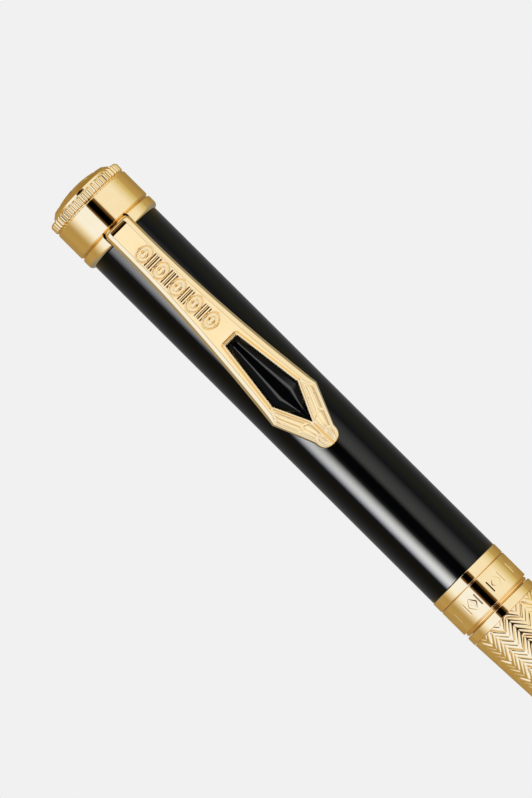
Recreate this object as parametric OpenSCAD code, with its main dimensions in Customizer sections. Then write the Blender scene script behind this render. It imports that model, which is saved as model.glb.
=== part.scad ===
// Twist-action rollerball pen: a lacquered upper barrel turns on a gold lower barrel and drives a
// standard 98 mm refill in and out. Millimetres. The pen is drawn standing on its tip, z up, with the
// clip towards +x, and is then laid down: crown towards -X, tip towards +X, clip up.

/* [Size] */
// Overall length, from the nose opening to the crown's apex
pen_l = 138; // [137:0.5:141]
// Diameter of the lacquered upper barrel
barrel_d = 11; // [11:0.05:11.1]
// Diameter of the crown and the collar, the thickest part
crown_d = 12.1; // [11.8:0.1:12.6]
// Visible length of the lacquered barrel
barrel_l = 62.4; // [60:0.1:63]

/* [Crown] */
// Height of the medallion above the reeded ring
dome_h = 1.5; // [1.3:0.05:1.7]
// Height of the reeded ring
reed_h = 1.35; // [1.1:0.05:1.6]
// Number of flutes on the reeded ring
reed_count = 48; // [36:1:60]
// Height of the plain crown cap
crown_h = 4.6; // [4:0.1:5]
// Height of the collar that holds the clip
collar_h = 1.9; // [1.8:0.05:2.2]

/* [Clip] */
// Length of the clip below the crown cap
clip_l = 40.5; // [38:0.5:43]
// Width of the clip at its root
clip_root_w = 4.2; // [3.8:0.1:4.3]
// Width of the clip across the widest point of its kite
clip_kite_w = 8.1; // [7.6:0.1:8.4]
// Thickness of the clip plate
clip_t = 0.85; // [0.7:0.05:0.9]

/* [Joint and lower barrel] */
// Height of the trim ring at the end of the lacquered barrel
trim_h = 1.6; // [1.4:0.05:1.8]
// Height of the centre band
band_h = 4.15; // [3.8:0.05:4.4]
// Open groove between the turning halves
joint_gap = 0.6; // [0.4:0.05:0.7]
// Height of the plain ring at the top of the lower barrel
lower_ring_h = 1.3; // [1.2:0.05:1.4]
// Slope of the lower barrel's side, in degrees
taper_deg = 2.67; // [2.4:0.01:2.8]
// Length of the nose cone
nose_l = 24; // [23.5:0.25:25]

/* [Mechanism] */
// Travel of the refill
travel = 4.5; // [3.5:0.25:4.5]
// Twist that gives the whole travel, in degrees
twist_deg = 180; // [120:10:180]
// How far the retracted point lies inside the nose opening
tip_inset = 1.5; // [1:0.1:2]

/* [Hidden] */
$fn = 96;

gold = [0.86, 0.66, 0.29];
brass = [0.78, 0.62, 0.32];
lacquer = [0.02, 0.02, 0.02];
steel = [0.72, 0.73, 0.75];
nylon = [0.93, 0.92, 0.88];
ink_black = [0.03, 0.03, 0.05];

eps = 0.01;       // overlap that keeps a cut from leaving a skin
run_fit = 0.05;   // radial clearance of a part that turns or slides in another
thread_p = 0.75;  // pitch of the barrel thread
stud_p = 0.7;     // pitch of the crown stud's thread

// heights of the parts' ends above the nose opening
z_reed_top = pen_l - dome_h;
z_crown_top = z_reed_top - reed_h;
z_crown = z_crown_top - crown_h;
z_barrel_top = z_crown - collar_h;
z_trim_top = z_barrel_top - barrel_l;
z_band_top = z_trim_top - trim_h;
z_band = z_band_top - band_h;
z_lower_top = z_band - joint_gap;
z_taper_top = z_lower_top - lower_ring_h;
z_nose_top = nose_l;

// radii of the outside
barrel_r = barrel_d / 2;
crown_r = crown_d / 2;
trim_r = barrel_r + 0.1;
band_r = barrel_r + 0.12;
lower_ring_r = barrel_r + 0.08;
taper_top_r = barrel_r + 0.04;
function taper_r(z) = taper_top_r - (z_taper_top - z) * tan(taper_deg);
nose_top_r = taper_r(z_nose_top);
nose_tip_r = 1.7;
nose_round = 2.1; // exponent of the nose cone's curve: 1 is a straight cone
function nose_r(z) = nose_tip_r
    + (nose_top_r - nose_tip_r) * (1 - pow(1 - z / z_nose_top, nose_round));

// refill, of the common 98 mm pattern
refill_l = 98.1;
refill_r = 3;
refill_wall = 0.3;
tip_tube_r = 1.15;
tip_tube_l = 12.5;   // from the writing point to the shoulder
shoulder_l = 3;
ball_r = 0.35;
z_point = tip_inset;
z_ball = z_point + ball_r;
z_shoulder = z_point + tip_tube_l;
z_refill_end = z_point + refill_l;
plug_l = 3.6;
z_spring_seat = 7.5;

// bores and the mechanism inside
barrel_bore_r = 4.75;
spigot_r = 5.15;     // reduced end of the lacquered barrel, under the trim ring and the band
journal_r = barrel_bore_r - run_fit;
guide_bore_r = refill_r + 0.15;
guide_r = 3.75;
thread_r = 4.1;
thread_l = 8.9;
z_journal_top = z_trim_top - 0.25;
pin_r = 0.55;
z_pin = z_refill_end + 4;
z_guide_top = z_pin + 8.2;
follower_l = 7.4;
z_cam = z_pin - travel - 7;
z_cam_top = z_guide_top - 1.6;
ring_t = 0.6;

// the clip and what holds it
stud_r = 2;
plug_neck_r = 4.1;
clip_ring_t = 0.6;
tab_t = 0.6;
tab_drop = 0.2;      // room between the clip's tab and the crown cap
z_tab_top = z_crown - tab_drop;
hinge_x = 4.35;      // where the spring ring's tongue bends
notch_w = clip_root_w + 0.2;
z_clip_tip = z_crown - clip_l;
clip_bend_r = 1.2;
clip_root_x = 8.6;       // outer face just below the bend
clip_slope = 0.048;
z_bend = z_tab_top - clip_bend_r;
z_kite = z_clip_tip + 7.3;      // widest point of the kite
z_window_top = z_kite + 11.7;
z_window_wide = z_kite + 1.7;
z_window_tip = z_kite - 3.4;
window_top_w = 2.14;
window_wide_w = 4.7;

// ---- helpers ----------------------------------------------------------------------------------

// points of an arc about c from angle a0 to a1
function arc(c, r, a0, a1, n = 8) =
    [for (i = [0:n]) let (a = a0 + (a1 - a0) * i / n) c + r * [cos(a), sin(a)]];

// point at t on the cubic curve with ends p[0], p[3]
function bezier(p, t) = pow(1 - t, 3) * p[0] + 3 * t * pow(1 - t, 2) * p[1]
    + 3 * t * t * (1 - t) * p[2] + pow(t, 3) * p[3];
function curve(p, n = 12) = [for (i = [0:n]) bezier(p, i / n)];

// ring about the axis with its outer edges rounded; belly is how far its middle stands out
module ring(r_in, r_out, z0, z1, round = 0.15, round_top = -1, belly = 0) {
    top = round_top < 0 ? round : round_top;
    middle = belly > 0 ? [[r_out, (z0 + round + z1 - top) / 2]] : [];
    rotate_extrude()
        polygon(concat(
            [[r_in, z0]],
            arc([r_out - belly - round, z0 + round], round, -90, 0, 5),
            middle,
            arc([r_out - belly - top, z1 - top], top, 0, 90, 5),
            [[r_in, z1]]
        ));
}

// plain tube about the axis
module tube(r_in, r_out, z0, z1) {
    difference() {
        translate([0, 0, z0]) cylinder(r = r_out, h = z1 - z0);
        translate([0, 0, z0 - eps]) cylinder(r = r_in, h = z1 - z0 + 2 * eps);
    }
}

// thread stand-in: V grooves cut round a shaft of crest radius r, from z0 up to z1
module thread_grooves(r, depth, pitch, z0, z1) {
    for (z = [z0 + pitch / 2 : pitch : z1 - pitch / 2])
        rotate_extrude()
            polygon([[r - depth, z], [r + 1, z - pitch * 0.42 - 0.4], [r + 1, z + pitch * 0.42 + 0.4]]);
}

// thread stand-in: V grooves cut round the wall of a bore of radius r
module bore_grooves(r, depth, pitch, z0, z1) {
    for (z = [z0 + pitch / 2 : pitch : z1 - pitch / 2])
        rotate_extrude()
            polygon([[r + depth, z], [r - 0.4, z - pitch * 0.4], [r - 0.4, z + pitch * 0.4]]);
}

// round wire along a helix about the axis; its end turns lie flat and close together
module coil(mean_r, wire_r, z0, z1, turns, sides = 6, steps = 18) {
    n = turns * steps;
    dead = 0.75;                      // turns at each end that barely rise
    low = z0 + wire_r;
    high = z1 - wire_r;
    rise = wire_r * 2.1;              // how far one closed turn rises
    function height(t) = t < dead ? low + rise * t
        : t > turns - dead ? high - rise * (turns - t)
        : low + rise * dead + (high - low - 2 * rise * dead) * (t - dead) / (turns - 2 * dead);
    points = [for (i = [0:n], j = [0:sides - 1])
        let (a = 360 * i / steps, b = 360 * j / sides, r = mean_r + wire_r * cos(b))
        [r * cos(a), r * sin(a), height(i / steps) + wire_r * sin(b)]];
    faces = concat(
        [[for (j = [0:sides - 1]) j]],
        [for (i = [0:n - 1], j = [0:sides - 1])
            [i * sides + j, (i + 1) * sides + j, (i + 1) * sides + (j + 1) % sides,
             i * sides + (j + 1) % sides]],
        [[for (j = [sides - 1:-1:0]) n * sides + j]]
    );
    polyhedron(points, faces, convexity = 10);
}

// ---- crown ------------------------------------------------------------------------------------

module crown_medallion() {
    rim_r = 4.95;
    face_r = 4.5;
    face_drop = 0.78;      // how far the domed face falls from its apex to its edge
    dome_r = (face_r * face_r + face_drop * face_drop) / (2 * face_drop);
    edge = asin(face_r / dome_r);
    color(gold)
        rotate_extrude()
            polygon(concat(
                [[0, z_reed_top - 0.5], [rim_r, z_reed_top - 0.5], [rim_r, pen_l - 1.2]],
                arc([0, pen_l - dome_r], dome_r, 90 - edge, 90, 10)
            ));
}

module reeded_ring() {
    flute_r = 0.24;
    color(gold)
        difference() {
            ring(5, crown_r - 0.02, z_crown_top, z_reed_top, 0.12, 0.2);
            for (i = [0:reed_count - 1])
                rotate([0, 0, 360 * i / reed_count])
                    translate([crown_r, 0, z_crown_top - 1])
                        cylinder(r = flute_r, h = reed_h + 2, $fn = 16);
        }
}

module crown_cap() {
    color(gold)
        difference() {
            union() {
                ring(0, crown_r - 0.03, z_crown, z_crown_top, 0.1);
                translate([0, 0, z_crown_top - eps]) cylinder(r = 5, h = reed_h - 0.5 + eps);
                translate([0, 0, z_tab_top]) cylinder(r = plug_neck_r, h = tab_drop + eps);
            }
            translate([0, 0, z_tab_top - 1]) cylinder(r = stud_r + 0.02, h = crown_h);
        }
}

module crown_stud() {
    z0 = z_barrel_top - 10;
    z1 = z_crown + 2.9;
    color(brass)
        difference() {
            translate([0, 0, z0]) cylinder(r = stud_r, h = z1 - z0);
            thread_grooves(stud_r, 0.3, stud_p, z0 + 0.3, z_barrel_top - 0.4);
            thread_grooves(stud_r, 0.3, stud_p, z_crown + 0.3, z1 - 0.2);
        }
}

module clip_collar() {
    color(gold)
        difference() {
            ring(plug_neck_r + 0.1, crown_r, z_barrel_top, z_crown - 0.08, 0.55, 0.12, 0.02);
            translate([3, -notch_w / 2, z_barrel_top - 1]) cube([5, notch_w, collar_h + 2]);
        }
}

module clip_ring() {
    color(steel)
        difference() {
            union() {
                translate([0, 0, z_tab_top - clip_ring_t]) cylinder(r = plug_neck_r, h = clip_ring_t);
                translate([3, -1.5, z_tab_top - clip_ring_t]) cube([hinge_x - 3, 3, clip_ring_t]);
            }
            translate([0, 0, z_crown - 3]) cylinder(r = stud_r + 0.1, h = 4);
        }
}

module top_plug() {
    z0 = z_barrel_top - 12;
    color(brass)
        difference() {
            union() {
                translate([0, 0, z0]) cylinder(r = barrel_bore_r, h = z_barrel_top - z0);
                translate([0, 0, z_barrel_top - eps])
                    cylinder(r = plug_neck_r, h = z_tab_top - clip_ring_t - z_barrel_top + eps);
            }
            translate([0, 0, z0 - 1]) cylinder(r = stud_r + 0.02, h = 20);
        }
}

// ---- clip -------------------------------------------------------------------------------------

// outer face of the clip at height z: it slopes towards the barrel all the way to the tip
function clip_top(z) = clip_root_x - clip_slope * (z_bend - z);

// side view of the clip as [x, z]: tab, bend, sloping arm and the toe that presses on the barrel
function clip_side() =
    let (
        z_toe = z_clip_tip + 3.3,
        x_toe = barrel_r + 0.02,         // inner face where the toe meets the barrel
        inner_r = clip_bend_r - clip_t,
        z_arm_end = z_toe + 3.2
    )
    concat(
        [[hinge_x + 0.05, z_tab_top - tab_t], [hinge_x + 0.05, z_tab_top]],
        arc([clip_root_x - clip_bend_r, z_bend], clip_bend_r, 90, 3, 8),
        [[clip_top(z_clip_tip), z_clip_tip], [clip_top(z_clip_tip) - 0.5, z_clip_tip]],
        curve([[clip_top(z_clip_tip) - 0.6, z_clip_tip + 0.1], [x_toe, z_toe - 2.2],
               [x_toe, z_toe + 1.4], [clip_top(z_arm_end) - clip_t, z_arm_end]], 10),
        arc([clip_root_x - clip_t - inner_r, z_tab_top - tab_t - inner_r], inner_r, 3, 90, 4)
    );

// half-width of the clip at height z, above the kite's widest point
function clip_half_w(z) = clip_root_w / 2 + (clip_kite_w - clip_root_w) / 2
    * pow(max(0, (z_crown - 3.6 - z) / (z_crown - 3.6 - z_kite)), 1.8);

// front view of the clip as [y, z], with a blunt rounded tip
function clip_front() =
    let (
        tip_half_w = 1.78,     // half-width where the rounding of the tip begins
        tip_l = 1.75,
        bulge = 0.77,          // 1 gives an elliptical tip, less a squarer one
        steps = 16,
        side = [for (i = [0:steps]) let (z = z_crown + (z_kite - z_crown) * i / steps)
            [clip_half_w(z), z]],
        tip = [for (a = [0:15:90])
            [tip_half_w * pow(cos(a), bulge), z_clip_tip + tip_l * (1 - pow(sin(a), bulge))]]
    )
    concat(
        side,
        tip,
        [for (i = [len(tip) - 2:-1:0]) [-tip[i][0], tip[i][1]]],
        [for (i = [steps:-1:0]) [-side[i][0], side[i][1]]]
    );

// the kite-shaped window as [y, z], grown by the given amount
function window(grow = 0) = [
    [window_top_w / 2 + grow, z_window_top + grow], [window_wide_w / 2 + grow, z_window_wide],
    [0, z_window_tip - grow * 1.6], [-window_wide_w / 2 - grow, z_window_wide],
    [-window_top_w / 2 - grow, z_window_top + grow]
];

// a front-view outline pushed through the clip, from x0 to x1
module through(outline, x0, x1) {
    translate([x0, 0, 0])
        rotate([90, 0, 90])
            linear_extrude(x1 - x0) polygon(outline);
}

module clip_arm() {
    color(gold)
        difference() {
            intersection() {
                translate([0, 10, 0]) rotate([90, 0, 0]) linear_extrude(20) polygon(clip_side());
                through(clip_front(), 0, 12);
            }
            through(window(), 5, 12);
        }
}

// faceted stone: a kite-shaped slab with a ridge down its middle
module clip_inlay() {
    gap = 0.02;
    base = window(-gap);
    ridge = [[0, z_window_top - 1.4], [0, z_window_tip + 1.9]];
    n = len(base);
    function raised(p, height) = [clip_top(p[1]) + height, p[0], p[1]];
    points = concat(
        [for (p = base) raised(p, -0.75)],
        [for (p = base) raised(p, -0.1)],
        [for (p = ridge) raised(p, 0.3)]
    );
    faces = concat(
        [[for (i = [n - 1:-1:0]) i]],
        [for (i = [0:n - 1]) [i, (i + 1) % n, n + (i + 1) % n, n + i]],
        [[n, n + 1, 2 * n], [n + 1, 2 * n + 1, 2 * n], [n + 1, n + 2, 2 * n + 1],
         [n + 2, n + 3, 2 * n + 1], [n + 3, 2 * n, 2 * n + 1], [n + 3, n + 4, 2 * n],
         [n + 4, n, 2 * n]]
    );
    color(lacquer) polyhedron(points, faces);
}

// ---- upper barrel -----------------------------------------------------------------------------

module upper_barrel() {
    z_end = z_band + 0.4;
    color(lacquer)
        difference() {
            union() {
                translate([0, 0, z_trim_top]) cylinder(r = barrel_r, h = barrel_l);
                translate([0, 0, z_end]) cylinder(r = spigot_r, h = z_trim_top - z_end + eps);
            }
            translate([0, 0, z_end - 1]) cylinder(r = barrel_bore_r, h = barrel_l + 10);
        }
}

module trim_ring() {
    color(gold) ring(spigot_r, trim_r, z_band_top, z_trim_top, 0.22, 0.12);
}

// band with a narrow neck that shows in the groove between the turning halves
module centre_band() {
    neck_r = 5.25;
    z_neck = z_lower_top + run_fit;
    color(gold)
        union() {
            difference() {
                ring(journal_r + 0.1, band_r, z_band, z_band_top, 0.3, 0.22);
                translate([0, 0, z_band + 0.4]) cylinder(r = spigot_r, h = band_h);
            }
            tube(journal_r + 0.1, neck_r, z_neck, z_band + eps);
        }
}

// ---- twist mechanism --------------------------------------------------------------------------

module thrust_bush() {
    color(nylon) tube(guide_r + 0.1, barrel_bore_r, z_journal_top + 0.1, z_journal_top + 3);
}

// sleeve pressed into the barrel, with a helical slot on each side for the follower's pin
module cam_sleeve() {
    steps = 30;
    slot_r = pin_r + 0.1;
    color(nylon)
        difference() {
            tube(guide_r + run_fit, barrel_bore_r, z_cam, z_cam_top);
            for (i = [0:steps])
                rotate([0, 0, 90 - twist_deg * i / steps])
                    translate([0, 0, z_pin - travel * i / steps])
                        rotate([0, 90, 0])
                            cylinder(r = slot_r, h = 2 * barrel_r, center = true, $fn = 32);
        }
}

// journal, thread for the lower barrel and the slotted tube that keeps the follower from turning
module guide_tube() {
    slot_w = 2 * (pin_r + run_fit);
    z_thread = z_lower_top - thread_l;
    color(brass)
        difference() {
            union() {
                translate([0, 0, z_thread]) cylinder(r = thread_r, h = thread_l + eps);
                translate([0, 0, z_lower_top]) cylinder(r = journal_r, h = z_journal_top - z_lower_top);
                translate([0, 0, z_journal_top - eps])
                    cylinder(r = guide_r, h = z_guide_top - z_journal_top + eps);
            }
            translate([0, 0, z_thread - 1]) cylinder(r = guide_bore_r, h = z_guide_top - z_thread + 2);
            thread_grooves(thread_r, 0.32, thread_p, z_thread + 0.4, z_lower_top - 1.6);
            tube(3.66, thread_r + 1, z_lower_top - 1.1, z_lower_top - 0.3);
            translate([-slot_w / 2, -guide_r - 1, z_pin - travel - 0.65])
                cube([slot_w, 2 * guide_r + 2, travel + 1.3]);
            tube(guide_r - 0.28, guide_r + 1, z_guide_top - 1.4, z_guide_top - 1.4 + ring_t);
        }
}

module retaining_ring() {
    color(steel)
        difference() {
            tube(guide_r - 0.26, 4.5, z_guide_top - 1.4 + 0.02, z_guide_top - 1.4 + ring_t - 0.02);
            translate([-5, -1.1, z_guide_top - 3]) cube([5, 2.2, 4]);
        }
}

module barrel_o_ring() {
    color([0.05, 0.05, 0.05])
        translate([0, 0, z_lower_top - 0.7])
            rotate_extrude() translate([4.03, 0]) circle(r = 0.36, $fn = 24);
}

module follower() {
    color(nylon)
        difference() {
            translate([0, 0, z_refill_end]) cylinder(r = guide_bore_r - run_fit, h = follower_l);
            translate([0, 0, z_pin]) rotate([90, 0, 0]) cylinder(r = pin_r, h = 10, center = true);
            translate([0, 0, z_refill_end + follower_l - 1.6]) cylinder(r = 2, h = 3);
        }
}

module follower_pin() {
    color(steel)
        translate([0, 0, z_pin]) rotate([90, 0, 0]) cylinder(r = pin_r, h = 2 * 4.5, center = true);
}

// ---- refill -----------------------------------------------------------------------------------

module refill_plug() {
    slot_w = 1.1;
    color([0.1, 0.1, 0.12])
        difference() {
            union() {
                ring(0, refill_r, z_refill_end - plug_l, z_refill_end, 0.05, 0.4);
                translate([0, 0, z_refill_end - plug_l - 3])
                    cylinder(r = refill_r - refill_wall, h = 3 + eps);
            }
            translate([0, 0, z_refill_end - plug_l - 4]) cylinder(r = 1.2, h = plug_l + 5);
            for (a = [0, 90])
                rotate([0, 0, a])
                    translate([-4, -slot_w / 2, z_refill_end - 1.2]) cube([8, slot_w, 2]);
        }
}

module refill_tube() {
    r_in = refill_r - refill_wall;
    z_end = z_refill_end - plug_l;
    z_body = z_shoulder + shoulder_l;
    color(steel)
        rotate_extrude()
            polygon([
                [0.9, z_shoulder], [tip_tube_r + 0.25, z_shoulder],
                [refill_r, z_body], [refill_r, z_end], [r_in, z_end],
                [r_in, z_body + 0.4], [0.9, z_shoulder + 1.4]
            ]);
}

// seal of clear grease that follows the ink down
module ink_float() {
    z0 = z_refill_end - plug_l - 14;
    color([0.85, 0.82, 0.7])
        translate([0, 0, z0]) cylinder(r = refill_r - refill_wall, h = 4);
}

module ink_column() {
    z0 = z_shoulder + shoulder_l + 0.6;
    z1 = z_refill_end - plug_l - 14;
    color(ink_black)
        translate([0, 0, z0]) cylinder(r = refill_r - refill_wall, h = z1 - z0);
}

// cone and tube that carry the ball in a closed socket
module refill_tip() {
    lip_z = z_ball - 0.12;
    cone_l = 2.7;
    color([0.8, 0.78, 0.7])
        difference() {
            rotate_extrude()
                polygon([
                    [0, lip_z], [0.42, lip_z], [0.5, lip_z + 0.35], [0.8, lip_z + cone_l - 0.6],
                    [0.85, lip_z + cone_l], [tip_tube_r, lip_z + cone_l + 0.1],
                    [tip_tube_r, z_shoulder], [0.88, z_shoulder], [0.88, z_shoulder + 1.3],
                    [0, z_shoulder + 1.3]
                ]);
            translate([0, 0, z_ball]) sphere(r = ball_r + 0.015, $fn = 32);
            translate([0, 0, z_ball]) cylinder(r = 0.24, h = 30);
            translate([0, 0, z_ball + 1.2]) cylinder(r = 0.45, h = 30);
        }
}

// fine spring that seals the ball against its seat
module ball_spring() {
    color(steel) coil(0.33, 0.05, z_ball + 1.3, z_ball + 7.3, 10, 6, 12);
}

module tip_ball() {
    color(steel) translate([0, 0, z_ball]) sphere(r = ball_r, $fn = 32);
}

// ---- lower barrel -----------------------------------------------------------------------------

module lower_ring() {
    color(gold)
        difference() {
            ring(4.45, lower_ring_r, z_taper_top, z_lower_top, 0.05, 0.18);
            translate([0, 0, z_taper_top - 1]) cylinder(r = 5, h = lower_ring_h + 0.6);
        }
}

module lower_barrel() {
    z_mouth = z_lower_top - 0.4;
    z_seat = z_lower_top - thread_l - 0.5;
    color(gold)
        difference() {
            union() {
                translate([0, 0, z_nose_top])
                    cylinder(r1 = nose_top_r, r2 = taper_top_r, h = z_taper_top - z_nose_top);
                translate([0, 0, z_taper_top - eps]) cylinder(r = 5, h = z_mouth - z_taper_top + eps);
            }
            translate([0, 0, z_seat]) cylinder(r = 4.7, h = 20);
            translate([0, 0, z_nose_top + 10]) cylinder(r = 3.9, h = 40);
            translate([0, 0, z_nose_top - 1]) cylinder(r = 3.5, h = 40);
        }
}

module barrel_insert() {
    bore_r = thread_r + run_fit;
    z0 = z_lower_top - thread_l - 0.5;
    z1 = z_lower_top - 1.6;
    color(brass)
        difference() {
            tube(bore_r, 4.7, z0, z1);
            bore_grooves(bore_r, 0.25, thread_p, z0 + 0.4, z1 - 0.3);
        }
}

module nose_ring() {
    color(gold) ring(3.5, nose_top_r + 0.1, z_nose_top - 0.8, z_nose_top, 0.3);
}

// curved cone with the guide hole for the point, the spring's seat and a spigot for the barrel
module nose_cone() {
    z_top = z_nose_top - 0.8;
    steps = 20;
    spigot = 3.5;
    color(gold)
        rotate_extrude()
            polygon(concat(
                [[tip_tube_r + 0.12, 0.15], [tip_tube_r + 0.27, 0], [nose_tip_r - 0.15, 0]],
                [for (i = [0:steps]) let (z = 0.15 + (z_top - 0.15) * i / steps) [nose_r(z), z]],
                [[spigot, z_top], [spigot, z_top + 5], [guide_bore_r, z_top + 5],
                 [guide_bore_r, 12.2], [2.2, 10.5], [2.2, z_spring_seat],
                 [tip_tube_r + 0.12, z_spring_seat]]
            ));
}

module return_spring() {
    color(steel) coil(1.88, 0.2, z_spring_seat, z_shoulder + 0.6, 6);
}

// ---- assembly ---------------------------------------------------------------------------------

// lays the standing pen down on the crown's edge, with its middle over the origin
module laid() {
    translate([pen_l / 2, 0, crown_r]) rotate([0, -90, 0]) children();
}

laid() crown_medallion();
laid() reeded_ring();
laid() crown_cap();
laid() crown_stud();
laid() clip_collar();
laid() clip_ring();
laid() clip_arm();
laid() clip_inlay();
laid() top_plug();
laid() upper_barrel();
laid() trim_ring();
laid() centre_band();
laid() thrust_bush();
laid() cam_sleeve();
laid() guide_tube();
laid() retaining_ring();
laid() barrel_o_ring();
laid() follower();
laid() follower_pin();
laid() refill_plug();
laid() refill_tube();
laid() ink_float();
laid() ink_column();
laid() refill_tip();
laid() ball_spring();
laid() tip_ball();
laid() lower_ring();
laid() lower_barrel();
laid() barrel_insert();
laid() nose_ring();
laid() nose_cone();
laid() return_spring();
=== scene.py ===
from math import asin, atan, copysign, cos, degrees, hypot, radians, sin, sqrt, tan, pi

import bmesh
import bpy
from mathutils import Matrix, Vector


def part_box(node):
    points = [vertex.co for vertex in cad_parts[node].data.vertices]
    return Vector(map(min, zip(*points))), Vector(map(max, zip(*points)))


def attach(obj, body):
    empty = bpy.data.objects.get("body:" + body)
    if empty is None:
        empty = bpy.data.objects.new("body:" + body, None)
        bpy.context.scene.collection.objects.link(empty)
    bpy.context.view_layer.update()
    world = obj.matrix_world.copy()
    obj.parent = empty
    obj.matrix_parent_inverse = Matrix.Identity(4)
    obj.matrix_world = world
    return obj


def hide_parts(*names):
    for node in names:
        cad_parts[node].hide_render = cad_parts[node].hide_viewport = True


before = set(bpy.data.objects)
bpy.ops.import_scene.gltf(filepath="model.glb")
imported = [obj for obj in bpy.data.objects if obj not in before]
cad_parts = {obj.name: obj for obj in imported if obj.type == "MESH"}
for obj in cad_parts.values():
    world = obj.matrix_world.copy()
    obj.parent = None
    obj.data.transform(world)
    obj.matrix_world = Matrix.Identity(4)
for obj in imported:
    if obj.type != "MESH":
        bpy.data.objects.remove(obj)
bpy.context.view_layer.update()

# A twist-action rollerball pen: the visible model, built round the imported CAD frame.

MM = 0.001
CROWN_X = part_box("crown_medallion")[0].x  # the crown's apex, where s is 0
AXIS_Z = sum((c.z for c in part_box("upper_barrel")), 0.0) / 2


# ---- the frame, in pen terms: s is mm from the crown's apex, r is mm from the axis ----


def span(node):
    """Where a node starts and ends along the pen, in mm from the crown's apex."""
    low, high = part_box(node)
    return (low.x - CROWN_X) / MM, (high.x - CROWN_X) / MM


def radius(node):
    """A round node's outer radius, in mm."""
    low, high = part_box(node)
    return (high.y - low.y) / 2 / MM


def sizes(node):
    """A round node's start, end and outer radius, in mm."""
    return (*span(node), radius(node))


def place(s, y, h):
    """The point s mm along the pen, y mm to its side and h mm above its axis, in the row frame."""
    return Vector((CROWN_X + s * MM, y * MM, AXIS_Z + h * MM))


# ---- small maths ----


def clamp(x, low=0.0, high=1.0):
    return max(low, min(high, x))


def smooth(x, low, high):
    """0 below low, 1 above high, and an S-curve between them."""
    t = clamp((x - low) / (high - low))
    return t * t * (3 - 2 * t)


def ridge(distance, half_width):
    """1 on a line, falling to 0 at half_width from it."""
    return 1 - smooth(abs(distance), 0.0, half_width)


def plateau(distance, half_width, edge):
    """1 within half_width of a line, with a side of that width."""
    return 1 - smooth(abs(distance), half_width - edge / 2, half_width + edge / 2)


def mix(a, b, t):
    return a + (b - a) * t


def steps(start, end, count):
    return [mix(start, end, i / count) for i in range(count + 1)]


def bezier(p, t):
    """A point on the cubic curve with the four control points p."""
    u = 1 - t
    w = (u**3, 3 * t * u * u, 3 * t * t * u, t**3)
    return tuple(sum(share * point[k] for share, point in zip(w, p)) for k in (0, 1))


# ---- meshes ----

HOLD = 0.03  # mm from a rounded edge to the loop that keeps the flat beside it flat
HOLD_SHARE = 0.04  # the most of a side that this loop may take
FILLET_SHARE = 0.45  # the most of a side that a rounded corner may take
ARC_STEPS = 6
SHARP = 38  # degrees between two faces from which their edge is drawn sharp


def filleted(points, closed=True):
    """An outline of (s, r, edge radius) corners with every corner rounded, as (s, r) points."""
    out = []
    count = len(points)
    for i, (s, r, fillet) in enumerate(points):
        here = Vector((s, r))
        if fillet <= 0 or (not closed and i in (0, count - 1)):
            out.append((s, r))
            continue
        before = Vector(points[i - 1][:2]) - here
        after = Vector(points[(i + 1) % count][:2]) - here
        half = before.angle(after) / 2
        reach = min(fillet / tan(half), before.length * FILLET_SHARE, after.length * FILLET_SHARE)
        round_r = reach * tan(half)
        start, end = before.normalized(), after.normalized()
        centre = here + (start + end).normalized() * (round_r / sin(half))
        first, last = here + start * reach - centre, here + end * reach - centre
        turn = first.angle_signed(last)
        hold = min(HOLD, before.length * HOLD_SHARE, after.length * HOLD_SHARE)
        out.append(tuple(here + start * (reach + hold)))
        for k in range(ARC_STEPS + 1):
            out.append(tuple(centre + Matrix.Rotation(-turn * k / ARC_STEPS, 2) @ first))
        out.append(tuple(here + end * (reach + hold)))
    return out


def added(name, data):
    """A new object in the scene."""
    made = bpy.data.objects.new(name, data)
    bpy.context.scene.collection.objects.link(made)
    return made


def finished(name, bm, sharp=SHARP):
    """Makes a smooth-shaded object from bm, which is in mm along, beside and above the axis."""
    bmesh.ops.recalc_face_normals(bm, faces=bm.faces)
    mesh = bpy.data.meshes.new(name)
    bm.to_mesh(mesh)
    bm.free()
    mesh.transform(Matrix.Translation(place(0, 0, 0)) @ Matrix.Scale(MM, 4))
    mesh.shade_smooth()
    mesh.set_sharp_from_angle(angle=radians(sharp))
    return added(name, mesh)


def turned(name, profile, segments, shape=None, sharp=SHARP, start=0.0, sweep=360.0):
    """A profile of (s, r) points turned about the axis; shape(s, r, angle) may move each point.

    The profile is a closed outline, unless both its ends are on the axis. A sweep under 360 leaves
    a gap with flat ends. Angles are in degrees from the clip, towards +Y.
    """
    full = sweep >= 360
    solid = profile[0][1] == 0 and profile[-1][1] == 0
    bm = bmesh.new()
    columns = segments if full else segments + 1
    grid = []
    for i in range(columns):
        angle = start + sweep * i / segments
        turn = radians(angle)
        column = []
        for s, r in profile:
            if r == 0 and grid:
                column.append(grid[0][len(column)])
                continue
            if shape and r > 0:
                s, r = shape(s, r, angle)
            column.append(bm.verts.new((s, r * sin(turn), r * cos(turn))))
        grid.append(column)
    rows = len(profile) - 1 if solid else len(profile)
    for i in range(segments):
        a, b = grid[i], grid[(i + 1) % columns]
        for j in range(rows):
            k = (j + 1) % len(profile)
            corners = list(dict.fromkeys((a[j], b[j], b[k], a[k])))
            if len(corners) > 2:
                bm.faces.new(corners)
    if not full:
        bm.faces.new(grid[0])
        bm.faces.new(grid[-1])
    return finished(name, bm, sharp)


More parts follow.
